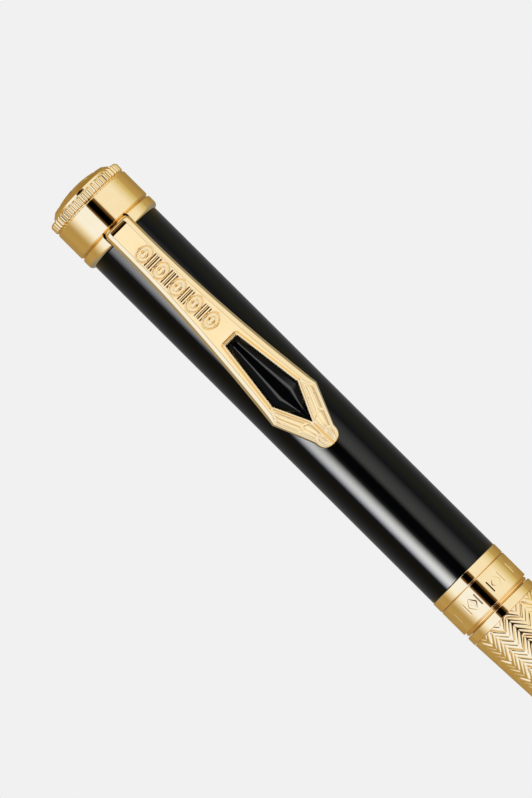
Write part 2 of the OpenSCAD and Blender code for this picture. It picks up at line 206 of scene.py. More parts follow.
def swept(name, path, wire, sides):
    """A round wire of that radius along path, a list of (s, y, h) in mm."""
    bm = bmesh.new()
    points = [Vector(p) for p in path]
    rings = []
    normal = Vector((1, 0, 0))
    for i, p in enumerate(points):
        along = (points[min(i + 1, len(points) - 1)] - points[max(i - 1, 0)]).normalized()
        normal = (normal - along * normal.dot(along)).normalized()
        side = along.cross(normal)
        turn = [2 * pi * k / sides for k in range(sides)]
        rings.append([bm.verts.new(p + wire * (normal * cos(t) + side * sin(t))) for t in turn])
    for a, b in zip(rings, rings[1:]):
        for k in range(sides):
            bm.faces.new((a[k], a[(k + 1) % sides], b[(k + 1) % sides], b[k]))
    bm.faces.new(rings[0])
    bm.faces.new(rings[-1])
    return finished(name, bm, sharp=60)


# ---- materials ----


class Nodes:
    """A short way to write a node tree."""

    def __init__(self, tree):
        self.tree = tree
        self.tree.nodes.clear()

    def add(self, kind, **values):
        """A node of that kind. Values are its properties, or its inputs by index as in0, in1, ..."""
        node = self.tree.nodes.new(kind)
        inputs = {key: value for key, value in values.items() if key[:2] == "in" and key[2:].isdigit()}
        for key in values.keys() - inputs.keys():
            setattr(node, key, values[key])
        for key, value in inputs.items():
            self.feed(node.inputs[int(key[2:])], value)
        return node

    def feed(self, socket, value):
        if isinstance(value, bpy.types.NodeSocket):
            self.tree.links.new(value, socket)
        else:
            socket.default_value = value

    def math(self, operation, a, b=0.0):
        return self.add("ShaderNodeMath", operation=operation, in0=a, in1=b).outputs[0]

    def ramp(self, value, low, high, start=0.0, end=1.0):
        """start below low, end above high, and an S-curve between them."""
        node = self.add("ShaderNodeMapRange", interpolation_type="SMOOTHSTEP")
        sockets = ("Value", "From Min", "From Max", "To Min", "To Max")
        for key, x in zip(sockets, (value, low, high, start, end)):
            self.feed(node.inputs[key], x)
        return node.outputs["Result"]

    def blend(self, share, colour, colour2):
        """colour where share is 0 and colour2 where it is 1. Each is a colour or a socket."""
        node = self.add("ShaderNodeMix", data_type="RGBA", in0=share)
        for key, x in (("A", colour), ("B", colour2)):
            self.feed(node.inputs[key], (*x, 1) if isinstance(x, tuple) else x)
        return node.outputs["Result"]

    def emission(self, colour, strength=1.0):
        node = self.add("ShaderNodeEmission")
        self.feed(node.inputs["Color"], (*colour, 1) if isinstance(colour, tuple) else colour)
        self.feed(node.inputs["Strength"], strength)
        return node.outputs[0]

    def for_camera(self, seen, else_):
        """A shader that differs for what the camera sees directly."""
        ray = self.add("ShaderNodeLightPath").outputs["Is Camera Ray"]
        return self.add("ShaderNodeMixShader", in0=ray, in1=else_, in2=seen).outputs[0]

    def noise(self, where, scale, detail, roughness=0.55):
        node = self.add("ShaderNodeTexNoise")
        for key, x in (("Vector", where), ("Scale", scale), ("Detail", detail), ("Roughness", roughness)):
            self.feed(node.inputs[key], x)
        return node.outputs["Fac"]


EVEN = (1, 1, 1)


def surface(name, colour, colour2, metallic, rough, grain, relief, stretch=EVEN, patch=260.0, tint=None):
    """A material whose colour and roughness vary in patches, with a fine grain in its relief.

    rough is the (lowest, highest) roughness, grain the grain's scale per metre, relief its height in
    mm, stretch its scale along, across and up, patch the scale of the patches per metre, and tint
    darkens what a non-metal mirrors face on.
    """
    material = bpy.data.materials.new(name)
    material.use_nodes = True
    n = Nodes(material.node_tree)
    where = n.add("ShaderNodeTexCoord").outputs["Object"]
    blend = n.ramp(n.noise(where, patch, 4.0), 0.35, 0.65)
    mapped = n.add("ShaderNodeVectorMath", operation="MULTIPLY", in0=where, in1=stretch).outputs[0]
    shader = n.add("ShaderNodeBsdfPrincipled")
    bump = n.add("ShaderNodeBump")
    n.feed(bump.inputs["Strength"], 1.0)
    n.feed(bump.inputs["Distance"], relief * MM)
    n.feed(bump.inputs["Height"], n.noise(mapped, grain, 5.0, 0.6))
    n.feed(shader.inputs["Base Color"], n.blend(blend, colour, colour2))
    n.feed(shader.inputs["Metallic"], metallic)
    n.feed(shader.inputs["Roughness"], n.ramp(n.noise(where, patch * 2.3, 5.0), 0.3, 0.7, *rough))
    n.feed(shader.inputs["Normal"], bump.outputs[0])
    if tint:
        n.feed(shader.inputs["Specular Tint"], (*tint, 1))
    output = n.add("ShaderNodeOutputMaterial")
    n.feed(output.inputs["Surface"], shader.outputs[0])
    return material


def make_materials():
    drawn = (0.08, 1.0, 1.0)  # grain that runs along the pen
    turned_round = (1.0, 0.05, 0.05)  # fine lines that run round the pen
    gold = ((0.95, 0.71, 0.36), (0.94, 0.69, 0.33), 1.0)
    jet_tint = (0.10, 0.09, 0.065)
    # each is a key and then what surface takes
    looks = (
        ("gold", "gold_polished", *gold, (0.03, 0.06), 5200.0, 0.00025, turned_round),
        ("gold_clip", "gold_stamped", *gold, (0.05, 0.09), 3600.0, 0.0004),
        ("gold_engraved", "gold_engraved", *gold, (0.06, 0.12), 6000.0, 0.0006, drawn),
        ("lacquer", "black_lacquer", (0.0012,) * 3, (0.0018,) * 3, 0.0,
         (0.05, 0.08), 900.0, 0.0008, EVEN, 90.0, jet_tint),
        ("stone", "black_stone", (0.001,) * 3, (0.0016,) * 3, 0.0,
         (0.06, 0.10), 1400.0, 0.0006, EVEN, 200.0, jet_tint),
        ("brass", "turned_brass", (0.72, 0.53, 0.25), (0.62, 0.44, 0.19), 1.0,
         (0.18, 0.32), 4200.0, 0.003, turned_round),
        ("steel", "bright_steel", (0.62, 0.59, 0.53), (0.50, 0.475, 0.43), 1.0,
         (0.16, 0.30), 4200.0, 0.002, drawn),
        ("nickel", "nickel_silver", (0.72, 0.69, 0.60), (0.66, 0.62, 0.53), 1.0,
         (0.14, 0.24), 5200.0, 0.002, turned_round),
        ("nylon", "white_nylon", (0.80, 0.79, 0.74), (0.74, 0.73, 0.68), 0.0, (0.34, 0.48), 2600.0, 0.006),
        ("rubber", "black_rubber", (0.02,) * 3, (0.03,) * 3, 0.0, (0.5, 0.7), 3800.0, 0.006),
        ("plastic", "dark_plastic", (0.03, 0.03, 0.035), (0.045, 0.045, 0.05), 0.0,
         (0.22, 0.36), 2600.0, 0.004),
        ("grease", "clear_grease", (0.72, 0.69, 0.52), (0.66, 0.62, 0.46), 0.0, (0.12, 0.3), 700.0, 0.02),
        ("ink", "gel_ink", (0.004, 0.004, 0.008), (0.008, 0.008, 0.016), 0.0, (0.06, 0.14), 500.0, 0.01),
        ("carbide", "carbide", (0.34, 0.34, 0.36), (0.28, 0.28, 0.30), 1.0, (0.12, 0.22), 9000.0, 0.0005),
    )
    return {key: surface(*values) for key, *values in looks}


MATERIALS = make_materials()
SLOTS = {
    "gold": "polished_gold", "gold_clip": "polished_gold", "gold_engraved": "engraved_gold",
    "lacquer": "black_lacquer", "stone": "black_inlay", "brass": "plain_brass", "steel": "spring_steel",
    "nickel": "refill_nickel", "nylon": "white_nylon", "plastic": "refill_plastic", "refill": "refill_steel",
}


def dressed(piece, material, body, *nodes, slot=None):
    """Gives a piece its material and its body, and hides the CAD nodes it stands for."""
    piece.data.materials.append(MATERIALS[material])
    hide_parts(*nodes)
    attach(piece, body)
    return piece


# ---- crown ----


def make_medallion():
    """Domed end disc: a polished rim, a ring of beads and an eight-petalled flower in low relief."""
    start, end, rim_r = sizes("crown_medallion")
    face_r, face_drop = 4.15, 0.66
    dome_r = (face_r**2 + face_drop**2) / (2 * face_drop)
    beads, bead_r, bead_share, bead_half, bead_h = 36, 3.82, 0.42, 0.24, 0.20
    ring_r, ring_half, ring_h = 3.42, 0.10, 0.08
    petals, petal_start, petal_l, petal_share, petal_h = 8, 0.7, 2.6, 0.40, 0.17
    vein_half, vein_h = 0.05, 0.09
    boss_r, boss_h = 0.62, 0.14
    ground = 0.15  # depth of the ground under the rim
    face = []
    for r in steps(0.0, face_r, 44):
        face.append((start + dome_r - sqrt(dome_r**2 - r * r), r))
    rim = filleted([
        (start + face_drop, face_r, 0), (start + face_drop - 0.05, face_r + 0.12, 0.05),
        (start + face_drop + 0.47, rim_r, 0.10), (end, rim_r, 0),
    ], closed=False)
    profile = [*face, *rim[1:], (end, 0.0)]

    def relief(s, r, angle):
        if r > face_r - 0.01:
            return s, r
        bead_turn = (angle * beads / 360 + 0.5) % 1 - 0.5
        bead = max(0.0, 1 - (bead_turn / bead_share) ** 2 - ((r - bead_r) / bead_half) ** 2) ** 0.5
        turn = (angle * petals / 360 + 0.5) % 1 - 0.5
        width = petal_share * sin(pi * clamp((r - petal_start) / petal_l)) ** 0.7
        petal = plateau(turn, width, 0.10) * smooth(r, petal_start, 0.95) * (1 - smooth(r, 3.05, 3.25))
        vein = ridge(turn, vein_half) * petal
        boss = max(0.0, 1 - (r / boss_r) ** 2) ** 0.5
        height = bead_h * bead + ring_h * ridge(r - ring_r, ring_half) + petal_h * petal
        return s + ground - (height - vein_h * vein + boss_h * boss), r

    piece = turned("crown_medallion_relief", profile, 320, relief)
    dressed(piece, "gold", "upper", "crown_medallion")


def make_reeded_ring():
    """Coin-edged ring: rounded teeth with a chamfer at each end of the ring."""
    start, end, outer = sizes("reeded_ring")
    inner = radius("crown_medallion") + 0.03
    teeth = 48
    tooth_facets = 16
    depth = 0.17
    groove_share, groove_power = 0.78, 2.4
    outline = filleted([
        (start + 0.22, inner, 0.05), (start, inner + 0.42, 0.08), (start, outer - 0.22, 0.06),
        (start + 0.24, outer, 0.08), (end - 0.16, outer, 0.06), (end - 0.02, outer - 0.2, 0.04),
        (end, inner, 0),
    ])

    def reeding(s, r, angle):
        across = abs((angle * teeth / 360 + 0.5) % 1 - 0.5) * 2
        groove = min(1.0, (across / groove_share) ** groove_power)
        return s, r - depth * groove * smooth(r, outer - 0.30, outer - 0.14)

    piece = turned("reeded_ring_teeth", outline, teeth * tooth_facets, reeding, sharp=45)
    dressed(piece, "gold", "upper", "reeded_ring")


def make_crown_cap():
    """Polished cap with a small groove under the reeded ring and a V-groove above the collar."""
    start, end = span("crown_cap")
    shelf = span("reeded_ring")[1] + 0.01
    foot = span("clip_collar")[0] - 0.03
    outer = radius("crown_cap")
    core, seat_r, groove_r = 2.2, 4.9, outer - 0.16
    outline = filleted([
        (start, core, 0), (start, seat_r, 0), (shelf, seat_r, 0), (shelf, groove_r, 0.03),
        (shelf + 0.11, groove_r, 0.03), (shelf + 0.27, outer, 0.12), (foot - 0.27, outer, 0.16),
        (foot, outer - 0.32, 0.03), (foot, 4.1, 0), (end, 4.05, 0), (end, core, 0),
    ])
    dressed(turned("crown_cap_shell", outline, 256), "gold", "upper", "crown_cap")


def make_clip_collar():
    """Collar with a rounded lower edge, open where the clip passes through it."""
    start, end, outer = sizes("clip_collar")
    inner = 4.2
    notch = 4.4
    half = degrees(asin(notch / 2 / outer))
    outline = filleted([
        (start, inner, 0.03), (start, outer - 0.28, 0.03), (start + 0.20, outer, 0.14),
        (end, outer, 0.62), (end, inner, 0.05),
    ])
    piece = turned("clip_collar_shell", outline, 240, start=half, sweep=360 - 2 * half)
    dressed(piece, "gold", "upper", "clip_collar")


# ---- clip ----

# the clip in mm: s along the pen, h above the axis
CLIP_START, CLIP_END = span("clip_arm")
CLIP_SLOPE = 0.048
CLIP_THICK = 0.85
BEND_R = 1.2
CLIP_TOP = (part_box("clip_arm")[1].z - AXIS_Z) / MM  # the outer face just after the bend
BEND_END = CLIP_START + BEND_R
KITE = CLIP_END - 7.3  # the widest point
KITE_HALF = radius("clip_arm")
ROOT_HALF = 2.1
FLARE_START = CLIP_START + 3.4
TIP_HALF = 1.78  # half-width where the rounding of the tip begins
TIP_L = 1.75
WINDOW_START, WINDOW_END = span("clip_inlay")
WINDOW_WIDE = KITE - 1.7
WINDOW_HALF = (1.07, 2.35)  # half-width at the window's start and at its widest
WINDOW_CORNERS = (  # one side of its outline
    (WINDOW_START, 0.0), (WINDOW_START, WINDOW_HALF[0]), (WINDOW_WIDE, WINDOW_HALF[1]), (WINDOW_END, 0.0)
)
RECESS = 0.70  # depth of the window's floor below the face
TAB_H = 4.4  # the tab's foot
TAB_THICK = 0.6
BEND_H = CLIP_TOP - BEND_R  # the bend's centre
ARM_END = CLIP_END - 6.5  # where the inner face starts to dip on to the barrel


def clip_face(s):
    """Height of the clip's outer face above the axis."""
    return CLIP_TOP - CLIP_SLOPE * (s - BEND_END)


def clip_half(s):
    """Half-width of the clip."""
    if s <= KITE:
        return ROOT_HALF + (KITE_HALF - ROOT_HALF) * clamp((s - FLARE_START) / (KITE - FLARE_START)) ** 1.8
    tip = CLIP_END - TIP_L
    if s >= tip:
        return TIP_HALF * (1 - clamp((s - tip) / TIP_L) ** 2.6) ** (1 / 2.6)
    return mix(KITE_HALF, TIP_HALF, (s - KITE) / (tip - KITE))


def window_half(s):
    """Half-width of the kite-shaped window, below 0 outside it."""
    if s < WINDOW_START or s > WINDOW_END:
        return -1.0
    if s < WINDOW_WIDE:
        return mix(*WINDOW_HALF, (s - WINDOW_START) / (WINDOW_WIDE - WINDOW_START))
    return mix(WINDOW_HALF[1], 0.0, (s - WINDOW_WIDE) / (WINDOW_END - WINDOW_WIDE))


def window_distance(s, y):
    """Distance in mm from the window's edge: above 0 outside it, below 0 inside."""
    y = abs(y)
    p = Vector((s, y))
    nearest = 1e9
    for a, b in zip(WINDOW_CORNERS, WINDOW_CORNERS[1:]):
        a, b = Vector(a), Vector(b)
        t = clamp((p - a).dot(b - a) / (b - a).length_squared)
        nearest = min(nearest, (p - a.lerp(b, t)).length)
    return -nearest if y < window_half(s) else nearest


def stroke(distance, half_width=0.17):
    """Raised line with a cut groove along each side: its height is 1 and the groove's -1.4."""
    raised = plateau(distance, half_width, 0.10)
    cut = ridge(abs(distance) - half_width - 0.15, 0.13)
    return raised - 1.4 * cut * (1 - raised)


def clip_motif(s, y):
    """Bead-and-reel moulding down the middle of the clip, made of strokes."""
    first = 12.35
    beads = 5
    bead_l, bead_half = 1.62, 1.10
    pitch = 3.05
    space = pitch - bead_l
    bar_off, bar_half = 0.30, 0.13  # each pair of bars, from the middle between two beads
    line = 0.17
    last = first + pitch * (beads - 1) + bead_l
    if not first - 0.5 < s < last + 0.5:
        return 0.0
    k = min(beads - 1, max(0, int((s - first + space / 2) / pitch)))
    centre = first + pitch * k + bead_l / 2
    if abs(s - centre) > bead_l / 2 + 0.14 and first < s < last:
        middle = (s - first - bead_l - space / 2) % pitch
        bar = stroke(min(middle, pitch - middle) - bar_off, bar_half)
        return 0.5 * bar * plateau(y, bead_half + 0.05, 0.10)
    outer = hypot((s - centre) / (bead_l / 2 - line), y / (bead_half - line))
    return stroke((outer - 1) * (bead_l / 2 - line) * mix(1.0, 1.25, clamp(abs(y) / bead_half)))


def clip_leaves(s, y):
    """Engraving of the two leaf-shaped arms: height in mm, below 0 where it is cut in."""
    side = abs(y)
    line_half, middle = 0.15, 0.45
    inner = max(window_half(s), 0.0) + (0.26 if s < WINDOW_END else 0.12)
    outer = clip_half(s) - 0.36
    start = 39.0 + (side - 2.45) * 1.45  # the leaf begins on a slanting line
    if s < start - 0.3 or side > outer + 0.25:
        return 0.0
    room = max(outer - inner, 0.05)
    across = (side - inner) / room
    inside = smooth(s, start, start + 0.15)
    border = max(ridge((across - 0.02) * room, line_half), ridge((1 - across) * room, line_half))
    body = sin(pi * clamp(across)) * 0.05
    notch_l, notch_start = 2.4, 40.9
    tooth = ((s - notch_start) / notch_l - 0.45 * abs(across - middle)) % 1 * notch_l
    notch = (1 - smooth(tooth, 0.0, 0.34)) * smooth(s, 41.2, 41.6) * plateau(across - middle, 0.34, 0.2)
    vein = ridge((across - middle) * room, 0.16) * smooth(s, start, start + 0.8)
    seam = ridge(y, line_half) * smooth(s, WINDOW_END + 0.1, WINDOW_END + 0.5)
    cut = max(0.08 * border, 0.08 * notch, 0.04 * vein)
    return inside * (body - cut) - 0.09 * ridge(s - start, 0.16) - 0.30 * seam


def bent(x, soft):
    """0 below 0 and x above it, with the corner rounded over soft to each side."""
    if x < -soft:
        return 0.0
    return (x + soft) ** 2 / (4 * soft) if x < soft else x


def clip_edge(s, y):
    """How far the clip's face has fallen near its edge: facet, chamfer and a steep last line."""
    inside = clip_half(s) - abs(y)
    narrow = mix(1.0, 0.60, smooth(s, KITE - 1.5, KITE + 1))
    facet = 0.26 * bent(0.80 * narrow - inside, 0.10)
    return facet + 1.9 * bent(0.30 * narrow - inside, 0.06) + 1.2 * bent(0.12 - inside, 0.04)


def clip_relief(s, y):
    """Height of the clip's outer face above its plain slope, in mm."""
    motif_h, bezel_h, groove_depth = 0.085, 0.07, 0.16
    away = window_distance(s, y)
    if away < 0:
        return -RECESS
    height = -clip_edge(s, y) + motif_h * clip_motif(s, y)
    height += bezel_h * plateau(away - 0.11, 0.11, 0.12)
    groove = ridge(away - 0.34, 0.12) * (1 - smooth(s, WINDOW_WIDE - 0.3, WINDOW_WIDE + 0.4))
    height -= groove_depth * groove
    if s > WINDOW_WIDE - 1:
        height += clip_leaves(s, y)
    return height


def clip_columns(s):
    """Where the clip's lengthwise lines cross station s, from its middle to its edge, in mm."""
    wall = window_half(min(max(s, WINDOW_START + 0.001), WINDOW_END - 0.001))
    half = max(clip_half(s), 0.02)
    frame_steps = (0.0, 0.05, 0.10, 0.16, 0.22, 0.28, 0.33, 0.38, 0.44, 0.50)  # out from the window's wall
    rim = min(0.62, half * 0.42)
    squeeze = clamp((half - rim - wall) / 0.55, 0.05, 1.0)
    lines = steps(0.0, max(wall - 0.04, 0.01), 14)
    lines += [wall + 0.015 + d * squeeze for d in frame_steps]
    return lines + steps(lines[-1], half - rim, 7)[1:] + steps(half - rim, half, 9)[1:]


def clip_rows():
    """Stations along the arm: close together where there is detail, and on every sharp line."""
    rows = [WINDOW_START + 0.02, WINDOW_START + 0.05]
    # each stretch ends at a mark, and its stations lie about that far apart
    stretches = (
        (11.8, 0.30), (WINDOW_START - 0.7, 0.065), (WINDOW_START, 0.06), (WINDOW_START + 0.6, 0.06),
        (WINDOW_WIDE - 0.6, 0.13), (WINDOW_END + 0.4, 0.065), (CLIP_END - 0.6, 0.07),
        (CLIP_END - 0.02, 0.03),
    )
    a = BEND_END
    for b, pitch in stretches:
        rows += steps(a, b, max(1, round((b - a) / pitch)))[1:]
        a = b
    return sorted(rows)


def clip_under(s):
    """Height of the arm's inner face, which dips on to the barrel at the toe."""
    if s < ARM_END:
        return clip_face(s) - CLIP_THICK
    pad_h = radius("upper_barrel") + 0.02
    toe = (
        (ARM_END, clip_face(ARM_END) - CLIP_THICK), (ARM_END + 1.8, pad_h), (CLIP_END - 1.1, pad_h),
        (CLIP_END - 0.1, clip_face(CLIP_END) - 0.6),
    )
    low, high = 0.0, 1.0
    for _ in range(24):
        t = (low + high) / 2
        low, high = (t, high) if bezier(toe, t)[0] < s else (low, t)
    return bezier(toe, low)[1]


def clip_stations():
    """(outer s, outer h, inner s, inner h) at stations up the tab, round the bend and along the arm."""
    inner_start = CLIP_START + TAB_THICK
    inner_r = BEND_R - CLIP_THICK
    stations = []
    for h in (mix(TAB_H, BEND_H, t) for t in steps(0, 1, 6)):
        stations.append((CLIP_START, h, inner_start, h))
    for t in steps(0.06, 1, 14):
        turn = t * (pi / 2 - atan(CLIP_SLOPE))
        back, rise = 1 - cos(turn), sin(turn)
        outside = (CLIP_START + BEND_R * back, BEND_H + BEND_R * rise)
        stations.append((*outside, inner_start + inner_r * back, BEND_H + inner_r * rise))
    return stations + [(s, clip_face(s), s, clip_under(s)) for s in clip_rows()]


def clip_vertices(bm):
    """Rows of vertices on the clip's outer face and on its inner face, one row at each station."""
    top, bottom = [], []
    for so, ho, si, hi in clip_stations():
        line = clip_columns(so)
        line = [-y for y in reversed(line[1:])] + line
        narrower = 1 - 0.02 / max(clip_half(so), 0.1)
        turn = clamp((ho - BEND_H) / BEND_R)
        upper, lower = [], []
        for y in line:
            if so > BEND_END:
                point = (so, y, max(ho + clip_relief(so, y), hi + 0.08))
            else:
                fall = clip_edge(so, y)
                point = (so + fall * sqrt(1 - turn * turn), y, ho - fall * turn)
            upper.append(bm.verts.new(point))
            lower.append(bm.verts.new((si, y * narrower, hi)))
        top.append(upper)
        bottom.append(lower)
    return top, bottom


def make_clip():
    """Clip in one piece: tab, bend, bevelled arm with a raised motif, framed window and leafed toe."""
    bm = bmesh.new()
    top, bottom = clip_vertices(bm)
    columns = len(top[0]) - 1
    last = len(top) - 1
    for i in range(last):
        for k in range(columns):
            bm.faces.new((top[i][k], top[i][k + 1], top[i + 1][k + 1], top[i + 1][k]))
            bm.faces.new((bottom[i][k], bottom[i + 1][k], bottom[i + 1][k + 1], bottom[i][k + 1]))
        for k in (0, columns):
            bm.faces.new((top[i][k], top[i + 1][k], bottom[i + 1][k], bottom[i][k]))
    for i in (0, last):
        for k in range(columns):
            bm.faces.new((top[i][k], bottom[i][k], bottom[i][k + 1], top[i][k + 1]))
    piece = finished("clip_body", bm, sharp=50)
    dressed(piece, "gold_clip", "clip", "clip_arm")


def make_stone():
    """Black kite: a flat table between two rounded ridges, with sides that slope into the recess."""
    gap = 0.05
    table_h, girdle_h, floor_h = 0.16, -0.46, -RECESS + 0.04
    rows = [
        WINDOW_START + gap, *steps(WINDOW_START + 0.35, WINDOW_WIDE - 0.2, 44),
        *steps(WINDOW_WIDE, WINDOW_END - 0.5, 30), WINDOW_END - gap * 2,
    ]
    shares = [*steps(0.0, 0.20, 3), *steps(0.24, 0.56, 12), 0.65, 0.77, 0.88, 1.0]

    def height(share):
        """Smooth from the flat table to the sloping side."""
        return mix(table_h, girdle_h, bent(share - 0.40, 0.16) / 0.60)

    bm = bmesh.new()
    grid = []
    for s in rows:
        half = max(window_half(s) - gap, 0.03)
        near_end = min(1.0, half / 0.9) * smooth(s, rows[0] - 0.25, rows[0] + 0.9)
        side = [(share * half, clip_face(s) + mix(girdle_h, height(share), near_end)) for share in shares]
        line = [(-y, h) for y, h in reversed(side[1:])] + side
        line += [(half, clip_face(s) + floor_h), (-half, clip_face(s) + floor_h)]
        grid.append([bm.verts.new((s, y, h)) for y, h in line])
    width = len(grid[0])
    for a, b in zip(grid, grid[1:]):
        for k in range(width):
            bm.faces.new((a[k], a[(k + 1) % width], b[(k + 1) % width], b[k]))
    bm.faces.new(grid[0])
    bm.faces.new(grid[-1])
    piece = finished("clip_stone", bm, sharp=32)
    dressed(piece, "stone", "clip", "clip_inlay")


# ---- upper barrel ----

BORE_R = 4.75
SPIGOT_R = 5.15


def make_upper_barrel():
    """Lacquered tube with softened ends and the reduced spigot that carries the two rings."""
    start, end, outer = sizes("upper_barrel")
    shoulder = span("trim_ring")[0]
    outline = filleted([
        (start, BORE_R, 0.03), (start, outer, 0.10), (shoulder, outer, 0.10), (shoulder, SPIGOT_R, 0.02),
        (end, SPIGOT_R, 0.03), (end, BORE_R, 0.03),
    ])
    dressed(turned("lacquered_tube", outline, 256), "lacquer", "upper", "upper_barrel")


def make_trim_ring():
    start, end, outer = sizes("trim_ring")
    outline = filleted([(start, SPIGOT_R, 0), (start, outer, 0.14), (end, outer, 0.26), (end, SPIGOT_R, 0)])
    dressed(turned("trim_ring_turned", outline, 256), "gold", "upper", "trim_ring")


def make_band():
    """Centre band with a frieze of lozenges and bars in relief, and its neck in the joint's groove."""
    start, end = span("centre_band")
    lip = span("lower_ring")[0] - 0.60  # where the band's full radius ends and the neck begins
    outer = radius("centre_band")
    neck = 5.25
    bead = neck + 0.12
    inside = journal_radius() + 0.1
    middle = (start + lip) / 2
    tall = 0.92  # half the frieze's height
    wide = 0.70  # half a lozenge's width
    repeats = 8
    pitch = 2 * pi * outer / repeats
    relief = 0.022
    fine = [(s, outer, 0) for s in steps(middle - tall - 0.1, middle + tall + 0.1, 44)]
    outline = filleted([
        (start, SPIGOT_R, 0), (start, outer, 0.24), *fine, (lip, outer, 0.32), (lip, neck, 0.03),
        (lip + 0.14, neck, 0), (lip + 0.22, bead, 0.05), (end - 0.20, bead, 0.05), (end - 0.12, neck, 0),
        (end, neck - 0.05, 0.03), (end, inside, 0), (lip - 0.4, inside, 0), (lip - 0.4, SPIGOT_R, 0),
    ])

    def frieze(s, r, angle):
        if r < outer - 0.001:
            return s, r
        u = (angle * repeats / 360 % 1 - 0.5) * pitch  # a plain field lies under the clip
        v = s - middle
        lozenge = (abs(u) / wide + abs(v) / tall) * 0.56  # distance from its middle, in mm across a side
        height = stroke(lozenge - 0.46, 0.07)
        if abs(u) > 0.80:
            height = stroke(abs(u) - 0.94, 0.07) * plateau(v, tall - 0.08, 0.10)
        return s, r + relief * height - relief

    dressed(turned("centre_band_frieze", outline, 840, frieze, sharp=60), "gold", "upper", "centre_band")


# ---- twist mechanism and refill ----


def journal_radius():
    return radius("guide_tube")


def guide_tube_outline(journal, neck):
    """Flange, journal in the joint's groove, thread relief and a thread drawn as rings."""
    start, end = span("guide_tube")
    joint = span("lower_ring")[0]
    flange = span("trim_ring")[0] + 0.25
    bore, thread_r, relief_r, thread_depth = 3.15, 4.1, 3.66, 0.32
    pitch = 0.75
    outline = [
        (start, bore, 0.04), (start, neck, 0.12), (flange, neck, 0.05), (flange, journal, 0.10),
        (joint, journal, 0.06), (joint, thread_r, 0), (joint + 0.3, thread_r, 0.03),
        (joint + 0.3, relief_r, 0.05), (joint + 1.1, relief_r, 0.05), (joint + 1.1, thread_r, 0.03),
    ]
    for k in range(int((end - joint - 2.2) / pitch)):
        s = joint + 1.7 + pitch * k
        groove = (s + pitch * 0.38, thread_r - thread_depth, 0)
        outline += [(s, thread_r, 0), groove, (s + pitch * 0.76, thread_r, 0)]
    return filleted([*outline, (end - 0.3, thread_r, 0.02), (end, thread_r - 0.3, 0.03), (end, bore, 0.03)])


def cut_slots(tube, neck):
    """Cuts the two slots that the follower's pin runs in right through the tube."""
    slot_half = degrees(asin(0.6 / neck))
    start, end = span("follower_pin")
    start, end = start - 0.1, end + 4.6
    cutter = bmesh.new()
    bmesh.ops.create_cube(cutter, size=1.0)
    size = ((end - start), 3 * neck, 2 * neck * sin(radians(slot_half)))
    bmesh.ops.scale(cutter, vec=size, verts=cutter.verts)
    bmesh.ops.translate(cutter, vec=((start + end) / 2, 0, 0), verts=cutter.verts)
    tool = finished("slot_cutter", cutter)
    cut = tube.modifiers.new("slots", "BOOLEAN")
    cut.operation = "DIFFERENCE"
    cut.solver = "EXACT"
    cut.object = tool
    bpy.context.view_layer.update()
    graph = bpy.context.evaluated_depsgraph_get()
    slotted = bpy.data.meshes.new_from_object(tube.evaluated_get(graph))
    tube.modifiers.clear()
    tube.data = slotted
    bpy.data.objects.remove(tool)
    tube.data.materials.clear()


def make_guide_tube():
    """Journal, thread and slotted guide tube in brass, gilt where it shows in the joint's groove."""
    neck = 3.75
    tube = turned("joint_journal", guide_tube_outline(journal_radius(), neck), 192, sharp=32)
    cut_slots(tube, neck)
    dressed(tube, "brass", "drive", "guide_tube")
    tube.data.materials.append(MATERIALS["gold"])
    gilt_start, gilt_end = span("centre_band")[1] - 0.6, span("lower_ring")[0] + 0.05
    for face in tube.data.polygons:
        at = (face.center.x - CROWN_X) / MM
        if gilt_start < at < gilt_end:
            face.material_index = 1


REFILL_WALL = 0.3


def make_refill_body():
    """Drawn tube that tapers to the point's socket."""
    start, end, outer = sizes("refill_tube")
    inner = outer - REFILL_WALL
    shoulder = end - 3.0
    socket_r = 0.9
    outline = filleted([
        (start, inner, 0), (start, outer, 0.04), (start + 60, outer, 0), (shoulder, outer, 0.6),
        (end, 1.4, 0.08), (end, socket_r, 0), (end - 1.4, socket_r, 0), (shoulder - 0.4, inner, 0),
    ])
    dressed(turned("refill_body", outline, 128), "steel", "refill", "refill_tube", slot=SLOTS["refill"])


def make_refill_point():
    """Turned point: a shank in the tube, a collar and a stepped cone."""
    start, end, outer = sizes("refill_tip")
    bore, shank = 0.3, 0.88
    collar = start + 1.3
    cone = end - 2.58
    outline = filleted([
        (start, bore, 0), (start, shank, 0.03), (collar, shank, 0), (collar, outer, 0.03),
        (cone - 0.1, outer, 0.04), (cone, 0.85, 0.03), (cone + 0.55, 0.80, 0.1), (end - 0.35, 0.5, 0.1),
        (end, 0.40, 0.03), (end, bore, 0),
    ])
    dressed(turned("refill_point", outline, 96), "nickel", "refill", "refill_tip")


def make_refill_plug():
    """Moulded end plug with a shallow groove round it."""
    start, end, outer = sizes("refill_plug")
    bore = 1.2
    groove_r, inner = outer - 0.12, outer - REFILL_WALL
    outline = filleted([
        (start, bore, 0.05), (start, outer, 0.35), (start + 0.9, outer, 0.05), (start + 1.0, groove_r, 0.05),
        (start + 1.3, groove_r, 0.05), (start + 1.4, outer, 0.05), (start + 3.6, outer, 0.05),
        (start + 3.6, inner, 0), (end, inner, 0.1), (end, bore, 0.05),
    ])
    dressed(turned("refill_end_plug", outline, 96), "plastic", "refill", "refill_plug")


def make_follower():
    """Nylon slug behind the refill, hollowed at its back."""
    start, end, outer = sizes("follower")
    hollow = start + 1.6
    chamfer = 0.25
    outline = [
        (hollow, 0.0), (hollow, 1.95), (start, 2.0), (start, outer - chamfer), (start + chamfer, outer),
        (end - chamfer, outer), (end, outer - chamfer), (end, 0.0),
    ]
    dressed(turned("refill_follower", outline, 96), "nylon", "refill", "follower")


# ---- lower barrel ----


